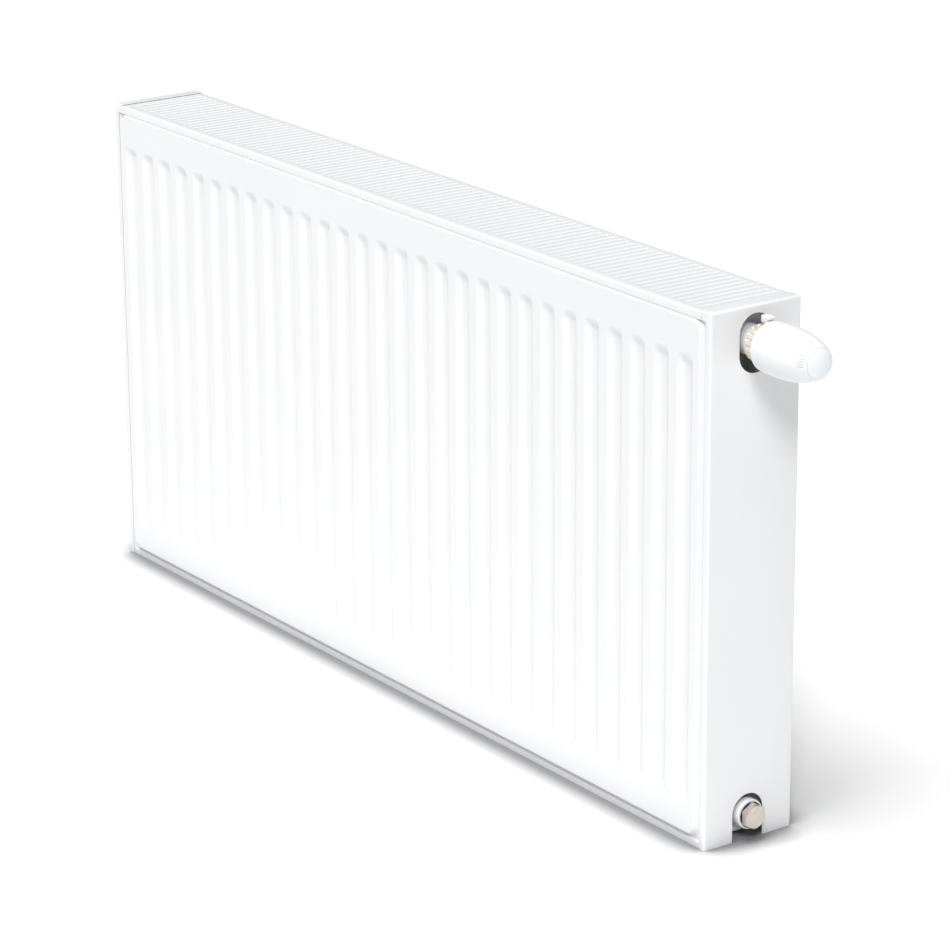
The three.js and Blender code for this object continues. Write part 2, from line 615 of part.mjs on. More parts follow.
const vent = new THREE.Group();
vent.position.set(-BOSS_REACH, AXIS_Y, TOP_PORT_Z);
vent.rotation.z = Math.PI;
radiator.add(vent);
place('vent_plug', ventPlug(), NICKEL, vent);
place('vent_screw', ventScrew(), BRASS, vent);
place('vent_nozzle', ventNozzle(), WHITE_PLASTIC, vent);

place('hanging_lug_top_left', hangingLug(-LUG.x, LUG.top), WHITE_STEEL);
place('hanging_lug_top_right', hangingLug(LUG.x, LUG.top), WHITE_STEEL);
place('hanging_lug_bottom_left', hangingLug(-LUG.x, LUG.bottom), WHITE_STEEL);
place('hanging_lug_bottom_right', hangingLug(LUG.x, LUG.bottom), WHITE_STEEL);

export default radiator;
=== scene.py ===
import json
import math

import bmesh
import bpy
from mathutils import Matrix, Vector


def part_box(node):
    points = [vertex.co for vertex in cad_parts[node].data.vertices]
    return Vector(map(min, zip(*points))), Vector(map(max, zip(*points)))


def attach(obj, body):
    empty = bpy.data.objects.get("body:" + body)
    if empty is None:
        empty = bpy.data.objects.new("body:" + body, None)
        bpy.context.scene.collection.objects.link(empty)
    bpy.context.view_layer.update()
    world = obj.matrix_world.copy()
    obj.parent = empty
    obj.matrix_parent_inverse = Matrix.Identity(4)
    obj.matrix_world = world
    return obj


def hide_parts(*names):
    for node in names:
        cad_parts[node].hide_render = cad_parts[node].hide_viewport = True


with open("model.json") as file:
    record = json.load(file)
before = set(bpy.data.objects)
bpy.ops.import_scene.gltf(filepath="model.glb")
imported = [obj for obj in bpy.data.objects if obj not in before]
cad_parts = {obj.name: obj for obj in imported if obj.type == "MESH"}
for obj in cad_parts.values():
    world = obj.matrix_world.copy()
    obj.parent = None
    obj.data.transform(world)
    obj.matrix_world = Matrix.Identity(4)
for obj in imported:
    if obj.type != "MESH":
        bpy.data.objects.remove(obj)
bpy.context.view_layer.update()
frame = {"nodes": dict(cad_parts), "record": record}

# A white double-panel steel radiator with its thermostatic head. Sizes below are in millimetres about
# the middle of the casing; piece_from() turns them into the frame's metres. X runs towards the head.

MM = 0.001
BODY = "radiator_body"
cover_right_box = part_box("side_cover_right")
cover_left_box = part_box("side_cover_left")
MID_X = (cover_right_box[1].x + cover_left_box[0].x) / 2 / MM
HALF = (cover_right_box[1].x - cover_left_box[0].x) / 2 / MM
HEIGHT = cover_right_box[1].z / MM
COVER_FRONT = cover_right_box[0].y / MM
COVER_REAR = cover_right_box[1].y / MM
FRONT_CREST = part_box("front_panel_outer_sheet")[0].y / MM
REAR_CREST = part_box("rear_panel_outer_sheet")[1].y / MM
panel_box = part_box("front_panel_outer_sheet")
PANEL_HALF = (panel_box[1].x - panel_box[0].x) / 2 / MM
PANEL_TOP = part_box("front_panel_outer_sheet")[1].z / MM
FRONT_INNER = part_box("front_panel_inner_sheet")[1].y / MM
REAR_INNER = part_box("rear_panel_inner_sheet")[0].y / MM
grille_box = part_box("top_grille")
GRILLE_HALF = (grille_box[1].x - grille_box[0].x) / 2 / MM + 0.8
GRILLE_TOP = grille_box[1].z / MM
GRILLE_LIP = grille_box[0].z / MM
HEAD_AXIS_Z = sum(v.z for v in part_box("head_handle")) / 2 / MM
VENT_AXIS_Z = sum(v.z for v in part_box("vent_plug")) / 2 / MM
PLUG_AXIS_Z = sum(v.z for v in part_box("blind_plug_right")) / 2 / MM
PORT_X = 475                   # upright water tubes at the ends
BOSS_REACH = 504               # the bushes stand proud of the side covers
PITCH = 100 / 3                # from channel to channel
CHANNELS = 30
GAP = 0.3                      # clearance between pieces that touch


# ---------------------------------------------------------------- materials
def shader(name, color, roughness, metallic=0.0):
    """A principled material with its node tools: (material, nodes, links, principled node)."""
    material = bpy.data.materials.new(name)
    material.use_nodes = True
    nodes, links = material.node_tree.nodes, material.node_tree.links
    surface = nodes["Principled BSDF"]
    surface.inputs["Base Color"].default_value = (*color, 1)
    surface.inputs["Roughness"].default_value = roughness
    surface.inputs["Metallic"].default_value = metallic
    return material, nodes, links, surface


def pattern(nodes, links, scale, detail=3.0, stretch=(1, 1, 1)):
    """A noise factor in object space; scale is features per metre."""
    place_node = nodes.new("ShaderNodeTexCoord")
    mapping = nodes.new("ShaderNodeMapping")
    mapping.inputs["Scale"].default_value = stretch
    texture = nodes.new("ShaderNodeTexNoise")
    texture.inputs["Scale"].default_value = scale
    texture.inputs["Detail"].default_value = detail
    links.new(place_node.outputs["Object"], mapping.inputs["Vector"])
    links.new(mapping.outputs["Vector"], texture.inputs["Vector"])
    return texture.outputs["Fac"]


def between(nodes, links, factor, low, high, start=0.3, end=0.7):
    """Maps a noise factor to a range."""
    node = nodes.new("ShaderNodeMapRange")
    node.inputs["From Min"].default_value = start
    node.inputs["From Max"].default_value = end
    node.inputs["To Min"].default_value = low
    node.inputs["To Max"].default_value = high
    links.new(factor, node.inputs["Value"])
    return node.outputs["Result"]


def tinted(nodes, links, factor, first, second, start=0.35, end=0.65):
    """Blends two colours by a factor: noise for the finishes, occlusion for the floor's painted contact
    shadow.
    """
    ramp = nodes.new("ShaderNodeValToRGB")
    ramp.color_ramp.elements[0].position, ramp.color_ramp.elements[0].color = start, (*first, 1)
    ramp.color_ramp.elements[1].position, ramp.color_ramp.elements[1].color = end, (*second, 1)
    links.new(factor, ramp.inputs["Fac"])
    return ramp.outputs["Color"]


def bumped(nodes, links, surface, height, strength, distance):
    """Raises the surface's shading by a height factor."""
    node = nodes.new("ShaderNodeBump")
    node.inputs["Strength"].default_value = strength
    node.inputs["Distance"].default_value = distance
    links.new(height, node.inputs["Height"])
    links.new(node.outputs["Normal"], surface.inputs["Normal"])


def finish(name, dark, light, scale, rough, grain_scale, grain, depth,
           metallic=0.0, stretch=(1, 1, 1), coat=0.0):
    """Cloudy colour between two tones, uneven gloss, and a fine grain in the surface."""
    material, nodes, links, surface = shader(name, light, rough[0], metallic)
    cloud = pattern(nodes, links, scale)
    links.new(tinted(nodes, links, cloud, dark, light), surface.inputs["Base Color"])
    grain_factor = pattern(nodes, links, grain_scale, 2.0, stretch)
    links.new(between(nodes, links, grain_factor, *rough), surface.inputs["Roughness"])
    bumped(nodes, links, surface, grain_factor, grain, depth)
    surface.inputs["Coat Weight"].default_value = coat
    surface.inputs["Coat Roughness"].default_value = COAT_ROUGHNESS
    return material


COAT_ROUGHNESS = 0.12
TURNED = (6, 1, 1)             # grain drawn out round the axis by the lathe
FINISHES = {
    # baked enamel: a little orange peel, faint clouding
    "white_steel": finish("white_enamel", (0.835, 0.840, 0.850), (0.850, 0.853, 0.860),
                          9, (0.28, 0.36), 420, 0.10, 0.0004, coat=0.25),
    "nickel": finish("satin_nickel", (0.60, 0.55, 0.495), (0.69, 0.64, 0.585),
                     70, (0.26, 0.36), 900, 0.12, 0.0002, 0.75, TURNED),
    "brass": finish("turned_brass", (0.60, 0.42, 0.17), (0.74, 0.55, 0.25),
                    140, (0.25, 0.4), 700, 0.2, 0.0002, 1.0, TURNED),
    "spring_steel": finish("spring_steel", (0.36, 0.37, 0.39), (0.50, 0.51, 0.53),
                           220, (0.25, 0.38), 900, 0.15, 0.0002, 1.0),
    "white_plastic": finish("white_moulding", (0.85, 0.855, 0.865), (0.875, 0.88, 0.885),
                            30, (0.34, 0.44), 1500, 0.12, 0.0002),
    # grey plastic of the end cap; its pale blue tint is a painted reflection
    "grey_plastic": finish("grey_moulding_painted_blue_reflection", (0.86, 0.885, 0.91), (0.88, 0.905, 0.93),
                           40, (0.36, 0.46), 1500, 0.12, 0.0002),
    "red_plastic": finish("red_moulding", (0.42, 0.05, 0.035), (0.50, 0.07, 0.05),
                          60, (0.38, 0.5), 1300, 0.15, 0.0002),
    "black_rubber": finish("black_rubber", (0.012, 0.012, 0.013), (0.022, 0.022, 0.024),
                           120, (0.65, 0.85), 1600, 0.3, 0.0003),
}
# a lighter copy of the nickel for the union nut: painted light that lifts the shade of the slot the nut
# sits in
NUT_NICKEL_PAINTED_LIGHT = finish("nickel_lightened_against_shade", (0.76, 0.70, 0.63), (0.85, 0.80, 0.73),
                    90, (0.30, 0.42), 900, 0.12, 0.0002, 0.5, TURNED)
INK = finish("grey_marking", (0.40, 0.41, 0.44), (0.48, 0.49, 0.52),
             90, (0.45, 0.6), 1200, 0.1, 0.0002)


# ---------------------------------------------------------------- mesh tools
def link(name, mesh):
    """Puts a mesh into the scene as a piece."""
    piece = bpy.data.objects.new(name, mesh)
    bpy.context.scene.collection.objects.link(piece)
    return piece


def piece_from(name, verts, faces):
    """A mesh object from millimetre coordinates about the casing's middle."""
    mesh = bpy.data.meshes.new(name)
    mesh.from_pydata([((x + MID_X) * MM, y * MM, z * MM) for x, y, z in verts], [], faces)
    work = bmesh.new()
    work.from_mesh(mesh)
    bmesh.ops.remove_doubles(work, verts=work.verts, dist=1e-7)
    bmesh.ops.recalc_face_normals(work, faces=work.faces)
    work.to_mesh(mesh)
    work.free()
    return link(name, mesh)


def apply_modifiers(piece):
    """Turns a piece's modifiers into mesh."""
    graph = bpy.context.evaluated_depsgraph_get()
    mesh = bpy.data.meshes.new_from_object(piece.evaluated_get(graph))
    piece.modifiers.clear()
    old, piece.data = piece.data, mesh
    bpy.data.meshes.remove(old)
    return piece


def combine(piece, operation, others):
    """Adds, subtracts or intersects other solids and removes them."""
    for other in others:
        step = piece.modifiers.new("combine", "BOOLEAN")
        step.object, step.operation, step.solver = other, operation, "EXACT"
    apply_modifiers(piece)
    for other in others:
        bpy.data.objects.remove(other)
    return piece


def join_solids(*solids):
    return combine(solids[0], "UNION", solids[1:])


def cut(piece, *tools):
    return combine(piece, "DIFFERENCE", tools)


def soft_edges(piece, width, segments=2, angle=40):
    """Breaks the sharp edges, as pressing, moulding and machining do."""
    bevel = piece.modifiers.new("soft_edges", "BEVEL")
    bevel.width, bevel.segments = width * MM, segments
    bevel.limit_method, bevel.angle_limit = "ANGLE", math.radians(angle)
    return piece


def finished(piece, slot, body, *nodes, material=None, angle=35):
    """Gives the piece its finish, smooth shading, CAD body and the CAD nodes that it stands for."""
    mesh = piece.data
    mesh.materials.clear()
    mesh.materials.append(material or FINISHES[slot])
    mesh.polygons.foreach_set("material_index", [0] * len(mesh.polygons))
    mesh.polygons.foreach_set("use_smooth", [True] * len(mesh.polygons))
    mesh.set_sharp_from_angle(angle=math.radians(angle))
    if nodes:
        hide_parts(*nodes)
    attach(piece, body)
    return piece


def soften(points, radius=0.4, steps=3):
    """Rounds the corners of a closed outline of (station, radius) points; corners on the axis stay."""
    result = []
    for i, point in enumerate(points):
        p = Vector(point)
        u = Vector(points[i - 1]) - p
        v = Vector(points[(i + 1) % len(points)]) - p
        if p.y == 0 or u.length == 0 or v.length == 0 or u.angle(v) > math.radians(160):
            result.append(tuple(p))
            continue
        back = min(radius / math.tan(u.angle(v) / 2), 0.45 * u.length, 0.45 * v.length)
        first, last = p + u.normalized() * back, p + v.normalized() * back
        for k in range(steps + 1):
            t = k / steps
            result.append(tuple((1 - t) ** 2 * first + 2 * t * (1 - t) * p + t * t * last))
    return result


def lathe(name, outline, origin, axis="X", steps=96, shape=None):
    """A turned solid about an axis. outline is a closed list of (station, radius); shape may vary the
    radius with the angle."""
    verts, rings = [], []
    ox, oy, oz = origin
    for station, radius in outline:
        ring = []
        for k in range(1 if radius == 0 else steps):
            angle = 2 * math.pi * k / steps
            r = shape(station, radius, angle) if shape else radius
            a, b = r * math.cos(angle), r * math.sin(angle)
            spot = {"X": (station, a, b), "Y": (b, station, a), "Z": (a, b, station)}[axis]
            ring.append(len(verts))
            verts.append((ox + spot[0], oy + spot[1], oz + spot[2]))
        rings.append(ring)
    faces = []
    for i, ring in enumerate(rings):
        other = rings[(i + 1) % len(rings)]
        if len(ring) == 1 and len(other) == 1:
            continue
        for k in range(steps):
            n = (k + 1) % steps
            if len(ring) == 1:
                faces.append((ring[0], other[k], other[n]))
            elif len(other) == 1:
                faces.append((ring[k], ring[n], other[0]))
            else:
                faces.append((ring[k], ring[n], other[n], other[k]))
    return piece_from(name, verts, faces)


def rod(name, axis, start, end, radius, centre, steps=64, edge=0.0):
    """A cylinder from start to end along an axis; the centre's other two coordinates place it."""
    outline = [(start, 0), (start, radius), (end, radius), (end, 0)]
    if edge:
        outline = soften(outline, edge)
    x, y, z = centre
    origin = {"X": (0, y, z), "Y": (x, 0, z), "Z": (x, y, 0)}[axis]
    return lathe(name, outline, origin, axis, steps)


def prism_x(name, outline, x0, x1):
    """A solid along X from an outline of (y, z) points."""
    n = len(outline)
    verts = [(x, y, z) for x in (x0, x1) for y, z in outline]
    faces = [tuple(range(n)), tuple(range(n, 2 * n))]
    faces += [(i, (i + 1) % n, n + (i + 1) % n, n + i) for i in range(n)]
    return piece_from(name, verts, faces)


def arc(y, z, radius, start, end, steps=24):
    """Points of a circle in the YZ plane, from one angle in degrees to another."""
    angles = [math.radians(start + (end - start) * k / steps) for k in range(steps + 1)]
    return [(y + radius * math.cos(a), z + radius * math.sin(a)) for a in angles]


def ease(t):
    """A smooth step from 0 to 1."""
    t = min(max(t, 0.0), 1.0)
    return t * t * (3 - 2 * t)


def lines(*spans):
    """Sorted grid positions from (start, end, count) spans and single numbers."""
    found = set()
    for span in spans:
        if isinstance(span, tuple):
            start, end, count = span
            found.update(round(start + (end - start) * k / count, 4) for k in range(count + 1))
        else:
            found.add(round(span, 4))
    return sorted(found)


# ---------------------------------------------------------------- pressed water panels
CREST_HALF, CREST_BOTTOM, CREST_TOP, CREST_CORNER = 487, 10, 490.2, 10
BULGE = 4.5                    # crest height above the weld edge
EDGE_START, EDGE_RUN = -3.0, 4.5     # the rounded edge of the raised field, from outside inwards
GROOVE_BOTTOM, GROOVE_TOP, GROOVE_RUN = 37.0, 458.0, 11.0
GROOVE_MOUTH, GROOVE_FLOOR = 11.6, 3.4
GROOVE_DEPTH = 4.3
HEM_RISE = 1.6                 # the weld edge rises again behind the side covers and at the foot
HEM_SIDE, HEM_SIDE_RUN = 489.6, 1.4
HEM_FOOT, HEM_FOOT_RUN = 7.0, 2.0
SHEET = 1.2


def crest_inset(x, z):
    """How far a point lies inside the raised field's rounded rectangle."""
    mid = (CREST_TOP + CREST_BOTTOM) / 2
    dx = abs(x) - (CREST_HALF - CREST_CORNER)
    dz = abs(z - mid) - ((CREST_TOP - CREST_BOTTOM) / 2 - CREST_CORNER)
    outside = math.hypot(max(dx, 0), max(dz, 0)) + min(max(dx, dz), 0)
    return CREST_CORNER - outside


def pressed_depth(x, z):
    """How far the sheet lies behind its crests."""
    rim = BULGE * (1 - ease((crest_inset(x, z) - EDGE_START) / EDGE_RUN))
    rim -= HEM_RISE * max(ease((abs(x) - HEM_SIDE) / HEM_SIDE_RUN), ease((HEM_FOOT - z) / HEM_FOOT_RUN))
    nearest = round((x + HALF) / PITCH)
    if not 1 <= nearest <= CHANNELS - 1:
        return rim
    across = abs(x - (nearest * PITCH - HALF))
    wall = 1 - ease((across - GROOVE_FLOOR) / (GROOVE_MOUTH - GROOVE_FLOOR))
    ends = ease((z - GROOVE_BOTTOM) / GROOVE_RUN) * ease((GROOVE_TOP - z) / GROOVE_RUN)
    return max(rim, GROOVE_DEPTH * wall * ends)


def pressed_sheet(name, crest_y, inward, node):
    """An outer sheet: 29 grooves between 30 channels, rounded to a recessed weld edge all round."""
    wall = (3.0, 4.2, 5.4, 6.6, 7.8, 9.0, 10.2, 11.2, 12.2)
    across = (*[-a for a in reversed(wall)], 0, *wall)
    xs = lines(-PANEL_HALF, -491.0, (-490.5, -484.5, 12), (-484.5, -476.5, 5),
               (476.5, 484.5, 5), (484.5, 490.5, 12), 491.0, PANEL_HALF,
               *[n * PITCH - HALF + a for n in range(1, CHANNELS) for a in across])
    zs = lines(0, (4.5, 12.5, 16), (12.5, 20, 5), (36.5, 49, 14), (49, 446, 18), (446, 458.5, 14),
               (479.5, 487, 5), (487, 493, 12), PANEL_TOP)
    verts = [(x, crest_y + inward * pressed_depth(x, z), z) for z in zs for x in xs]
    n = len(xs)
    faces = [(j * n + i, j * n + i + 1, (j + 1) * n + i + 1, (j + 1) * n + i)
             for j in range(len(zs) - 1) for i in range(n - 1)]
    mesh = bpy.data.meshes.new(name)
    if inward < 0:
        faces = [face[::-1] for face in faces]
    mesh.from_pydata([((x + MID_X) * MM, y * MM, z * MM) for x, y, z in verts], [], faces)
    piece = link(name, mesh)
    thick = piece.modifiers.new("sheet", "SOLIDIFY")
    thick.thickness, thick.offset = SHEET * MM, -1
    apply_modifiers(piece)
    return finished(piece, "white_steel", BODY, node, angle=50)


pressed_sheet("front_pressed_sheet", FRONT_CREST, 1, "front_panel_outer_sheet")
pressed_sheet("rear_pressed_sheet", REAR_CREST, -1, "rear_panel_outer_sheet")


# ---------------------------------------------------------------- side covers
COVER_SHEET = 1.0
SIDE_FLANGE, TOP_FLANGE = 7.0, 12.6
BEND = 2.6
SLOT_R, SLOT_BOTTOM, SLOT_TOP = 18.0, 438.5, 492.5
NOTCH_R, NOTCH_TOP = 17.5, 44.0
BLOCK = 40                     # how far the block that a cover is cut from goes in and down


def side_cover(name, side, node):
    """A folded tray: rounded bends, flanges at front, rear and top, a slot and an arched notch."""
    low = Vector((HALF - BLOCK, COVER_FRONT, -BLOCK))
    size = Vector((HALF, COVER_REAR, HEIGHT)) - low
    work = bmesh.new()
    bmesh.ops.create_cube(work, size=1)
    for vert in work.verts:
        vert.co = low + Vector([(t + 0.5) * length for t, length in zip(vert.co, size)])
    bmesh.ops.bevel(work, geom=work.edges[:], offset=BEND, segments=6, profile=0.5, affect="EDGES")

    def trim(at, normal, clear):
        bmesh.ops.bisect_plane(work, geom=work.verts[:] + work.edges[:] + work.faces[:], plane_co=at,
                               plane_no=normal, clear_outer=clear)

    trim((0, 0, 0), (0, 0, -1), True)
    trim((HALF - TOP_FLANGE, 0, 0), (-1, 0, 0), True)
    trim((HALF - SIDE_FLANGE, 0, 0), (-1, 0, 0), False)
    trim((0, 0, GRILLE_LIP), (0, 0, 1), False)
    short = [f for f in work.faces if f.calc_center_median().x < HALF - SIDE_FLANGE
             and f.calc_center_median().z < GRILLE_LIP]
    bmesh.ops.delete(work, geom=short, context="FACES")
    bmesh.ops.recalc_face_normals(work, faces=work.faces)
    outward = max(work.faces, key=lambda f: f.calc_area())
    if outward.normal.x < 0:
        bmesh.ops.reverse_faces(work, faces=work.faces)
    for vert in work.verts:
        vert.co = Vector(((side * vert.co.x + MID_X) * MM, vert.co.y * MM, vert.co.z * MM))
    if side < 0:
        bmesh.ops.reverse_faces(work, faces=work.faces)
    mesh = bpy.data.meshes.new(name)
    work.to_mesh(mesh)
    work.free()
    piece = link(name, mesh)
    thick = piece.modifiers.new("sheet", "SOLIDIFY")
    thick.thickness, thick.offset = COVER_SHEET * MM, -1
    apply_modifiers(piece)
    ends = sorted((side * (HALF - 4), side * (HALF + 4)))
    slot_top = arc(0, SLOT_TOP - SLOT_R, SLOT_R, 0, 180)
    slot_bottom = arc(0, SLOT_BOTTOM + SLOT_R, SLOT_R, 180, 360)
    arch = arc(0, NOTCH_TOP - NOTCH_R, NOTCH_R, 0, 180)
    cut(piece, prism_x("slot", slot_top + slot_bottom, *ends),
        prism_x("notch", arch + [(-NOTCH_R, -5), (NOTCH_R, -5)], *ends))
    soft_edges(piece, 0.22, 2, 50)
    return finished(piece, "white_steel", BODY, node)


side_cover("right_cover", 1, "side_cover_right")
side_cover("left_cover", -1, "side_cover_left")


# ---------------------------------------------------------------- top grille
LOUVRES, LOUVRE_PITCH = 96, 10
LOUVRE_HALF_WIDTH, LOUVRE_HALF_LENGTH = 0.75, 41.0
LOUVRE_SHOULDER = 1.2          # the sheet rolls over by this much into a slot
LOUVRE_LIP = 2.1               # depth of the lip pressed down round a slot
GRILLE_SHEET = 0.8
GRILLE_BEND = 2.0


def top_grille():
    """A channel of thin sheet with cross slots, each pressed down into a short lip."""
    straight = LOUVRE_HALF_LENGTH - LOUVRE_HALF_WIDTH
    quarter = [math.radians(a) for a in (0, 22.5, 45, 67.5, 90)]
    rises = [straight + (LOUVRE_HALF_WIDTH + LOUVRE_SHOULDER) * math.sin(a) for a in quarter]
    # (width beside the clear slot, depth below the sheet) of each ring of the lip
    steps = [(LOUVRE_SHOULDER, 0.0), (LOUVRE_SHOULDER * 0.5, 0.14), (LOUVRE_SHOULDER * 0.15, 0.5),
             (0.0, 1.0), (0.0, LOUVRE_LIP)]

    # the channel's section, from the foot of the front lip over the top to the foot of the rear lip
    bend_y, bend_z = COVER_FRONT + GRILLE_BEND, GRILLE_TOP - GRILLE_BEND
    lip = [(COVER_FRONT, z) for z in (GRILLE_LIP, 493.6, bend_z)]
    lip += [(bend_y - GRILLE_BEND * math.cos(a), bend_z + GRILLE_BEND * math.sin(a))
            for a in quarter[1:-1]]
    rear_lip = [(COVER_FRONT + COVER_REAR - y, z) for y, z in reversed(lip)]
    flat = [(bend_y, GRILLE_TOP)]
    flat += [(-r, GRILLE_TOP) for r in reversed(rises)] + [(r, GRILLE_TOP) for r in rises]
    flat += [(COVER_REAR - GRILLE_BEND, GRILLE_TOP)]
    section = lip + flat + rear_lip
    front_flat = len(lip)

    verts, faces = [], []

    def rib(x):
        """One section's vertices at x; returns the first one's number."""
        start = len(verts)
        verts.extend((x, y, z) for y, z in section)
        return start

    def strip(a, b, first, last):
        """Faces between two ribs, over part of the section."""
        faces.extend((a + k, b + k, b + k + 1, a + k + 1) for k in range(first, last))

    last = len(section) - 1
    left = rib(-GRILLE_HALF)
    inner = rib(-LOUVRES * LOUVRE_PITCH / 2)
    strip(left, inner, 0, last)
    left = inner
    count = len(quarter)
    for n in range(LOUVRES):
        x = (n - (LOUVRES - 1) / 2) * LOUVRE_PITCH
        right = rib(x + LOUVRE_PITCH / 2)
        strip(left, right, 0, front_flat)
        strip(left, right, front_flat + 2 * count + 1, last)
        rings = []
        for widen, drop in steps:
            ring = {}
            for side in (-1, 1):
                for end in (-1, 1):
                    for k, a in enumerate(quarter):
                        if k == count - 1 and side == 1:
                            ring[(side, end, k)] = ring[(-1, end, k)]
                            continue
                        ring[(side, end, k)] = len(verts)
                        r = LOUVRE_HALF_WIDTH + widen
                        verts.append((x + side * r * math.cos(a), end * (straight + r * math.sin(a)),
                                      GRILLE_TOP - drop))
            rings.append(ring)
        top = rings[0]
        for side, edge in ((-1, left), (1, right)):
            front = [edge + front_flat + 1 + k for k in range(count)]
            rear = [edge + front_flat + 1 + count + k for k in range(count)]
            for k in range(count - 1):
                faces.append((front[k], front[k + 1],
                              top[(side, -1, count - 2 - k)], top[(side, -1, count - 1 - k)]))
                faces.append((rear[k], rear[k + 1], top[(side, 1, k + 1)], top[(side, 1, k)]))
            faces.append((front[-1], rear[0], top[(side, 1, 0)], top[(side, -1, 0)]))
        tip = count - 1
        faces.append((left + front_flat, right + front_flat, right + front_flat + 1, top[(1, -1, tip)],
                      left + front_flat + 1))
        edge_rear = front_flat + 2 * count
        faces.append((left + edge_rear, top[(1, 1, tip)], right + edge_rear, right + edge_rear + 1,
                      left + edge_rear + 1))
        loop = [(-1, -1, k) for k in range(count - 1, -1, -1)] + [(-1, 1, k) for k in range(count)]
        loop += [(1, 1, k) for k in range(count - 2, -1, -1)] + [(1, -1, k) for k in range(count - 1)]
        for upper, lower in zip(rings, rings[1:]):
            for a, b in zip(loop, loop[1:] + loop[:1]):
                faces.append((upper[a], upper[b], lower[b], lower[a]))
        left = right
    right = rib(GRILLE_HALF)
    strip(left, right, 0, last)
    piece = piece_from("louvred_grille", verts, faces)
    top_face = max(piece.data.polygons, key=lambda f: f.center.z)
    if top_face.normal.z < 0:
        piece.data.flip_normals()
    thick = piece.modifiers.new("sheet", "SOLIDIFY")
    thick.thickness, thick.offset = GRILLE_SHEET * MM, -1
    apply_modifiers(piece)
    return finished(piece, "white_steel", BODY, "top_grille", angle=40)


top_grille()


# ---------------------------------------------------------------- ports, plugs and pipes
TEE_R, WATERWAY_R, BOSS_R, THREAD_R = 13, 9, 14, 10.7
VALVE_TUBE_X = 450
RISER_X, RISER_R, RISER_BORE = 425, 9, 7.8
NIPPLE_BOTTOM, NIPPLE_R, NIPPLE_BORE = 4, 13.2, 8
NIPPLE_ROOT = NIPPLE_R - 1.0
THREAD_PITCH, THREAD_LENGTH = 1.8, 12


def boss(name, side, start, z):
    """A bush along X that ends in a rounded lip outside the cover."""
    ends = sorted((side * start, side * BOSS_REACH))
    return rod(name, "X", *ends, BOSS_R, (0, 0, z), 72, 1.0)


def threaded_end(name, x, top):
    """The outside thread of a connection nipple, as rings a thread's pitch apart."""
    outline = [(NIPPLE_BOTTOM, 0), (NIPPLE_BOTTOM, NIPPLE_ROOT)]
    z = NIPPLE_BOTTOM + 0.8
    while z < NIPPLE_BOTTOM + THREAD_LENGTH:
        outline += [(z, NIPPLE_ROOT), (z + THREAD_PITCH / 2, NIPPLE_R), (z + THREAD_PITCH, NIPPLE_ROOT)]
        z += THREAD_PITCH
    outline += [(z + 0.6, NIPPLE_R), (top, NIPPLE_R), (top, 0)]
    return lathe(name, outline, (x, 0, 0), "Z", 72)


def port_tee(name, side, z, node, nipple=False):
    """A tube from panel to panel with a bush towards the cover, and on request a nipple below."""
    x = side * PORT_X
    solid = join_solids(rod(name, "Y", FRONT_INNER + GAP, REAR_INNER - GAP, TEE_R, (x, 0, z), 72, 0.6),
                        boss("boss", side, PORT_X, z))
    tools = [rod("waterway", "Y", FRONT_INNER - 2, REAR_INNER + 2, WATERWAY_R, (x, 0, z)),
             rod("socket", "X", *sorted((x, side * (BOSS_REACH + 2))), THREAD_R, (0, 0, z))]
    if nipple:
        solid = join_solids(solid, threaded_end("nipple", x, PLUG_AXIS_Z - 2))
        tools.append(rod("passage", "Z", NIPPLE_BOTTOM - 2, z, NIPPLE_BORE, (x, 0, 0)))
    cut(solid, *tools)
    return finished(solid, "white_steel", BODY, node)


port_tee("top_left_port", -1, VENT_AXIS_Z, "top_left_tee")
port_tee("bottom_left_port", -1, PLUG_AXIS_Z, "bottom_left_tee")
port_tee("return_port", 1, PLUG_AXIS_Z, "return_tee", nipple=True)

HEAD_AXIS = (0, 0, HEAD_AXIS_Z)
VALVE_TUBE = (VALVE_TUBE_X, 0, HEAD_AXIS_Z)
RISER = (RISER_X, 0, 0)
NECK_BOTTOM, SOCKET_BOTTOM, NIPPLE_TOP = 440, 21, 30     # the riser stands between the two sockets

valve = join_solids(
    rod("valve_body", "Y", FRONT_INNER + GAP, REAR_INNER - GAP, TEE_R, VALVE_TUBE, 72, 0.6),
    rod("barrel", "X", HALF - 90, BOSS_REACH, BOSS_R, HEAD_AXIS, 72, 1.0),
    rod("neck", "Z", NECK_BOTTOM, HEAD_AXIS_Z, 11.5, RISER, 64, 0.6))
cut(valve,
    rod("cross", "Y", FRONT_INNER - 2, REAR_INNER + 2, WATERWAY_R, VALVE_TUBE),
    rod("socket", "X", HALF - 60, BOSS_REACH + 2, THREAD_R, HEAD_AXIS),
    rod("orifice", "X", HALF - 67, HALF - 59, 5, HEAD_AXIS),
    rod("chamber", "X", HALF - 86, HALF - 65, WATERWAY_R, HEAD_AXIS),
    rod("inlet", "Z", NECK_BOTTOM - 2, HEAD_AXIS_Z, WATERWAY_R, RISER))
finished(valve, "white_steel", BODY, "valve_housing")

nipple = threaded_end("flow_port", RISER_X, NIPPLE_TOP)
cut(nipple, rod("passage", "Z", NIPPLE_BOTTOM - 2, SOCKET_BOTTOM, NIPPLE_BORE, RISER),
    rod("seat", "Z", SOCKET_BOTTOM - 0.5, NIPPLE_TOP + 2, RISER_R + GAP, RISER))
finished(nipple, "white_steel", BODY, "flow_nipple")

riser_ends = (SOCKET_BOTTOM + GAP, NECK_BOTTOM - GAP)
riser_wall = [(riser_ends[0], RISER_BORE), (riser_ends[0], RISER_R),
              (riser_ends[1], RISER_R), (riser_ends[1], RISER_BORE)]
riser = lathe("feed_riser", soften(riser_wall, 0.3), RISER, "Z", 64)
finished(riser, "white_steel", BODY, "riser_pipe")


PLUG_AXIS = (0, 0, PLUG_AXIS_Z)
PLUG_ACROSS_FLATS, PLUG_HEAD_END = 22, 8


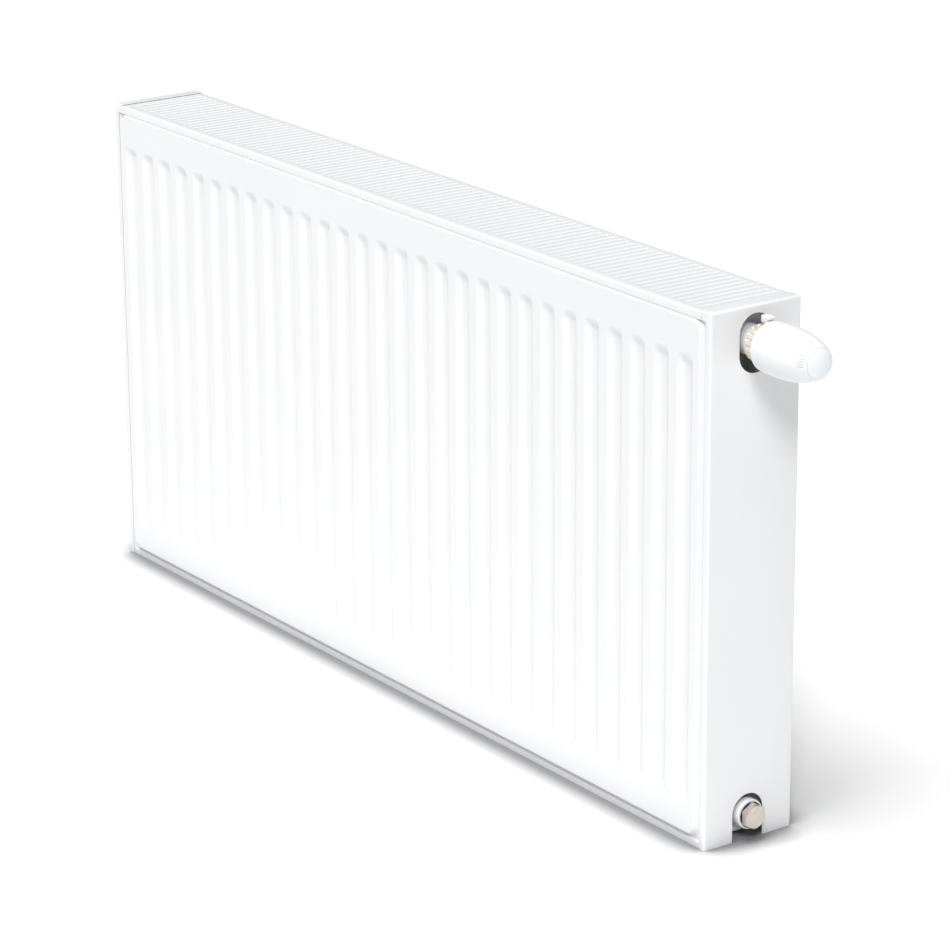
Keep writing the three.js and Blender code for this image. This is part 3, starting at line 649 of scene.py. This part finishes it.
def blind_plug(name, side, node):
    """A plug with a turned shank and a chamfered hexagon head."""
    def at(station):
        return side * (BOSS_REACH + station)
    shank = lathe(name, soften([(at(-11), 8), (at(-11), 9.4), (at(-10), 10.4), (at(2.1), 10.4),
                                (at(2.1), 8), (at(-3), 8)], 0.25), PLUG_AXIS, steps=72)
    core = rod("core", "X", *sorted((at(-3), at(3))), 8.2, PLUG_AXIS, 72)
    corners = arc(0, PLUG_AXIS_Z, PLUG_ACROSS_FLATS / math.sqrt(3), 90, 390, 5)
    hexagon = prism_x("hexagon", corners, *sorted((at(1.9), at(PLUG_HEAD_END))))
    dome = lathe("dome", soften([(at(1), 0), (at(1), 13), (at(6.2), 12.9), (at(PLUG_HEAD_END), 10.6),
                                 (at(PLUG_HEAD_END), 0)], 0.5), PLUG_AXIS, steps=72)
    combine(hexagon, "INTERSECT", [dome])
    join_solids(shank, core, hexagon)
    return finished(shank, "nickel", BODY, node, angle=30)


def plug_seal(name, side, node):
    """The flat seal ring squeezed out a little between the bush and the plug."""
    outline = soften([(0.3, 10.7), (0.3, 12.2), (1.6, 12.2), (1.6, 10.7)], 0.45)
    ring = lathe(name, [(side * (BOSS_REACH + station), radius) for station, radius in outline],
                 PLUG_AXIS, steps=72)
    return finished(ring, "black_rubber", BODY, node)


blind_plug("right_blind_plug", 1, "blind_plug_right")
blind_plug("left_blind_plug", -1, "blind_plug_left")
plug_seal("right_plug_seal", 1, "plug_seal_right")
plug_seal("left_plug_seal", -1, "plug_seal_left")


# ---------------------------------------------------------------- valve insert and union nut
# Stations from here on are measured outwards from the side cover's face.
HEAD = (HALF, 0, HEAD_AXIS_Z)

insert = lathe("brass_insert", soften([(-40, 8.6), (-40, 10.4), (4.3, 10.4), (4.3, 13), (8, 13),
                                       (8, 14.6), (14.3, 14.6), (14.3, 8.6)], 0.3), HEAD, steps=72)
finished(insert, "brass", BODY, "valve_insert")

NUT_R = 17
FLUTES, FLUTE_DEPTH, FLUTE_FADE = 18, 1.5, 1.2
WAIST_START, WAIST_END = 5.2, 17.2


def fluted(station, radius, angle):
    """Scalloped grips round the nut's waist."""
    if radius < NUT_R - 0.5 or not WAIST_START < station < WAIST_END:
        return radius
    dip = max(0.0, math.cos(FLUTES * angle)) ** 1.5
    fade = ease((station - WAIST_START) / FLUTE_FADE) * ease((WAIST_END - station) / FLUTE_FADE)
    return radius - FLUTE_DEPTH * dip * fade


waist = [(WAIST_START + k, NUT_R) for k in range(13)]
nut_outline = [(4.6, 15), *soften([(4.6, 15), (4.6, NUT_R), (WAIST_START, NUT_R)], 0.4)[4:8], *waist,
               (17.6, 16.9), (18, 16.4), (18, 12.4), (16.6, 12.4), (16.6, 15)]
nut = lathe("fluted_union_nut", nut_outline, HEAD, steps=FLUTES * 12, shape=fluted)
finished(nut, "nickel", BODY, "union_nut", material=NUT_NICKEL_PAINTED_LIGHT, angle=45)


# ---------------------------------------------------------------- thermostatic head
BASE_START, BASE_END, CAP_START, NOSE = 19, 29, 85, 89
BELLY, BELLY_R, BACK_DROP, NOSE_RUN = 42, 23.8, 1.3, 54


def head_radius(station):
    """Outer radius of the head: a full belly that closes like an ellipse."""
    if station < BELLY:
        return BELLY_R - BACK_DROP * ((BELLY - station) / (BELLY - BASE_START)) ** 2
    return BELLY_R * math.sqrt(1 - ((station - BELLY) / NOSE_RUN) ** 2)


base_rim = [(s, head_radius(s)) for s in (20, 21.5, 23, 24.5, 26, 27.4, 28.4)]
base_edge = head_radius(28.7)
base_outline = [(15, 7), (15, 14.5), (16.3, 14.5), (16.3, 12), (BASE_START, 12), (BASE_START, 21.6),
                (19.4, 22.1), *base_rim, (BASE_END - 0.25, base_edge - 0.25),
                (BASE_END, base_edge - 0.8), (BASE_END, 21), (22, 21), (22, 17), (62, 17), (62, 15.4),
                (22, 15.4), (22, 7)]
base = lathe("head_base_ring", base_outline, HEAD, steps=96)
finished(base, "white_plastic", BODY, "head_base", angle=30)


def bar(name, low, high):
    """A block between two corners."""
    verts = [(x, y, z)
             for x in (low[0], high[0]) for y in (low[1], high[1]) for z in (low[2], high[2])]
    faces = [(0, 1, 3, 2), (4, 6, 7, 5), (0, 4, 5, 1), (2, 3, 7, 6), (0, 2, 6, 4), (1, 5, 7, 3)]
    return piece_from(name, verts, faces)


LATCH_HALF_WIDTH, LATCH_HEIGHT = 4, 3.2
seat = HEAD_AXIS_Z + head_radius(BASE_END) + 0.35
latch_top = seat + LATCH_HEIGHT
latch = join_solids(bar("head_latch", (HALF + 10.5, -LATCH_HALF_WIDTH, seat - 3.6),
                        (HALF + BASE_START - 0.4, LATCH_HALF_WIDTH, latch_top)),
                    bar("latch_toe", (HALF + 14, -LATCH_HALF_WIDTH, seat),
                        (HALF + 21, LATCH_HALF_WIDTH, latch_top)))
soft_edges(latch, 1.5, 6, 50)
apply_modifiers(latch)
finished(latch, "white_plastic", BODY, "base_latch", angle=60)

HANDLE = "thermostat_handle"
back_edge = head_radius(BASE_END + 1)
front_edge = CAP_START - GAP
shell = [(BASE_END + GAP, back_edge - 1.6), (BASE_END + 0.35, back_edge - 0.5),
         (BASE_END + 0.8, back_edge - 0.05)]
shell += [(s, head_radius(s)) for s in [30.5 + k * 1.5 for k in range(36)]]
shell += [(84.2, head_radius(84.2)), (front_edge, head_radius(front_edge) - 0.25), (front_edge, 9.5),
          (82.7, 9.5), (82.7, 13.5)]
shell += [(s, head_radius(s + 1) - 2) for s in range(80, 30, -5)] + [(BASE_END + GAP, back_edge - 2)]
handle = lathe("turning_handle", shell, HEAD, steps=128)
finished(handle, "white_plastic", HANDLE, "head_handle", angle=30)

MARKS, MARK_STATION, MARK_REACH = 5, 79.5, 3.0
MARK_FIRST, MARK_STEP = 151, 8           # degrees round the head
mark_radius = head_radius(MARK_STATION) - 0.05
mark_drop = head_radius(MARK_STATION + MARK_REACH) - head_radius(MARK_STATION - MARK_REACH)
lean = Matrix.Rotation(-math.atan2(mark_drop, 2 * MARK_REACH), 4, "Y")
mark_centre = Matrix.Translation(((HALF + MARK_STATION + MID_X) * MM, 0, HEAD_AXIS_Z * MM))
for n in range(MARKS):
    mark = lathe(f"pointer_line_{n + 1}", [(-2.9, 0), (-2.7, 0.26), (2.7, 0.26), (2.9, 0)],
                 (0, 0, 0), steps=12)
    spin = Matrix.Rotation(math.radians(MARK_FIRST + n * MARK_STEP) - math.pi / 2, 4, "X")
    mark.data.transform(Matrix.Translation((-MID_X * MM, 0, 0)))
    mark.data.transform(mark_centre @ spin @ Matrix.Translation((0, 0, mark_radius * MM)) @ lean)
    finished(mark, "grey_plastic", HANDLE, material=INK)

DOME_HEIGHT, DOME_ANGLE = 3.85, math.radians(62)
rim = head_radius(CAP_START)
dome = []
for degrees in range(0, 63, 6):
    a = math.radians(degrees)
    dome.append((NOSE - DOME_HEIGHT * (1 - math.cos(a)) / (1 - math.cos(DOME_ANGLE)),
                 (rim - 0.2) * math.sin(a) / math.sin(DOME_ANGLE)))
cap = lathe("nose_cap", [*dome, (NOSE - 3.95, rim - 0.6), (CAP_START, rim - 1.2), (CAP_START, 0)],
            HEAD, steps=96)
finished(cap, "grey_plastic", HANDLE, "end_cap", angle=50)


# ---------------------------------------------------------------- air vent
# Stations here are measured from the left bush's end, and negative ones lie outside it.
VENT = (-BOSS_REACH, 0, VENT_AXIS_Z)
SPOUT_X = -BOSS_REACH - 6.6
KEY_START = -5.7

vent_plug = lathe("vent_collar", soften([(11, 4.3), (11, 9.4), (10, 10.4), (-0.5, 10.4), (-0.5, 12),
                                         (-2, 12), (-2, 10.4), (-4.6, 10.4), (-4.6, 4.3)], 0.3),
                  VENT, steps=72)
finished(vent_plug, "nickel", BODY, "vent_plug")


def keyed(station, radius, angle):
    """The square end that the vent key fits over."""
    return radius * (0.86 + 0.14 * math.cos(4 * angle)) if station < KEY_START else radius


vent_screw = lathe("vent_key_screw", soften([(9, 0), (9, 2), (7, 4), (-5.6, 4), (-5.6, 2.6), (-8, 2.6),
                                             (-8, 0)], 0.25), VENT, steps=48, shape=keyed)
finished(vent_screw, "brass", "vent_spindle", "vent_screw")

spout = join_solids(
    lathe("vent_nozzle_ring", soften([(-4.9, 4.4), (-4.9, 9.4), (-8.4, 9.4), (-8.4, 4.4)], 0.5),
          VENT, steps=72),
    lathe("tube", soften([(-14, 0), (-14, 1.9), (-8.4, 1.9), (-8.4, 0)], 0.3),
          (SPOUT_X, 0, VENT_AXIS_Z), "Z", 32))
cut(spout, rod("drain", "Z", VENT_AXIS_Z - 16, VENT_AXIS_Z - 5, 0.9, (SPOUT_X, 0, 0), 24))
finished(spout, "white_plastic", "vent_spout", "vent_nozzle")


# ---------------------------------------------------------------- CAD nodes that stay
slots = {part["node"]: part["material_slot"] for part in frame["record"]["subparts"]}
for name, node in frame["nodes"].items():
    material = FINISHES[slots[name]]
    if node.material_slots:
        for socket in node.material_slots:
            socket.link = "OBJECT"
            socket.material = material
    else:
        node.data.materials.append(material)
for name in ("hanging_lug_top_left", "hanging_lug_top_right",
             "hanging_lug_bottom_left", "hanging_lug_bottom_right"):
    soft_edges(frame["nodes"][name], 0.3)
for name in ("grille_clip", "grille_stay_front", "grille_stay_rear"):
    soft_edges(frame["nodes"][name], 0.12)


# ---------------------------------------------------------------- floor, light and camera
# the grey is the darkest tone of the painted contact shadow on the floor
FLOOR_WHITE, PAINTED_CONTACT_SHADOW_GREY = (0.90, 0.90, 0.90), (0.27, 0.27, 0.28)
floor = piece_from("floor", [(-6000, -6000, 0), (6000, -6000, 0), (6000, 9000, 0), (-6000, 9000, 0)],
                   [(0, 1, 2, 3)])
material, nodes, links, surface = shader("white_sweep", FLOOR_WHITE, 0.9)
surface.inputs["Specular IOR Level"].default_value = 0.0
# painted contact shadow: an AO node darkens the floor's colour towards grey where the radiator stands
# close over it
painted_contact_shadow = nodes.new("ShaderNodeAmbientOcclusion")
painted_contact_shadow.inputs["Distance"].default_value = 0.045
links.new(tinted(nodes, links, painted_contact_shadow.outputs["AO"], PAINTED_CONTACT_SHADOW_GREY, FLOOR_WHITE, 0.54, 0.93),
          surface.inputs["Base Color"])
floor.data.materials.append(material)

world = bpy.data.worlds.new("studio")
world.use_nodes = True
world.node_tree.nodes["Background"].inputs["Color"].default_value = (0.985, 0.99, 1.0, 1)
world.node_tree.nodes["Background"].inputs["Strength"].default_value = 0.26
bpy.context.scene.world = world


def sun(name, towards, strength, softness):
    """A soft distant light; towards points from the object to the light."""
    lamp = bpy.data.lights.new(name, "SUN")
    lamp.energy, lamp.angle = strength, math.radians(softness)
    holder = bpy.data.objects.new(name, lamp)
    holder.rotation_mode = "QUATERNION"
    holder.rotation_quaternion = Vector(towards).to_track_quat("Z", "Y")
    bpy.context.scene.collection.objects.link(holder)


sun("key_light", (0.92, -0.66, 1.05), 1.545, 18)
sun("top_light", (0.0, -0.66, 2.0), 2.106, 32)

AZIMUTH, ELEVATION, ROLL = 0.953170, 0.321712, -0.006105
FOCAL_PIXELS, FRAME_PIXELS = 3893.69, 950
CAMERA_X, CAMERA_Y, CAMERA_Z = 2987.88, -2065.45, 1421.43
back = Vector((math.sin(AZIMUTH) * math.cos(ELEVATION), -math.cos(AZIMUTH) * math.cos(ELEVATION),
               math.sin(ELEVATION)))
right = Vector((0, 0, 1)).cross(back).normalized()
up = back.cross(right)
level_right = right * math.cos(ROLL) + up * math.sin(ROLL)
level_up = up * math.cos(ROLL) - right * math.sin(ROLL)
camera = bpy.data.objects.new("camera", bpy.data.cameras.new("camera"))
camera.data.sensor_width = 36
camera.data.lens = FOCAL_PIXELS / FRAME_PIXELS * camera.data.sensor_width
camera.data.clip_end = 100
rotation = Matrix((level_right, level_up, back)).transposed().to_4x4()
station = Vector(((CAMERA_X + MID_X) * MM, CAMERA_Y * MM, CAMERA_Z * MM))
camera.matrix_world = Matrix.Translation(station) @ rotation
bpy.context.scene.collection.objects.link(camera)
bpy.context.scene.camera = camera
bpy.context.scene.view_settings.view_transform = "Standard"
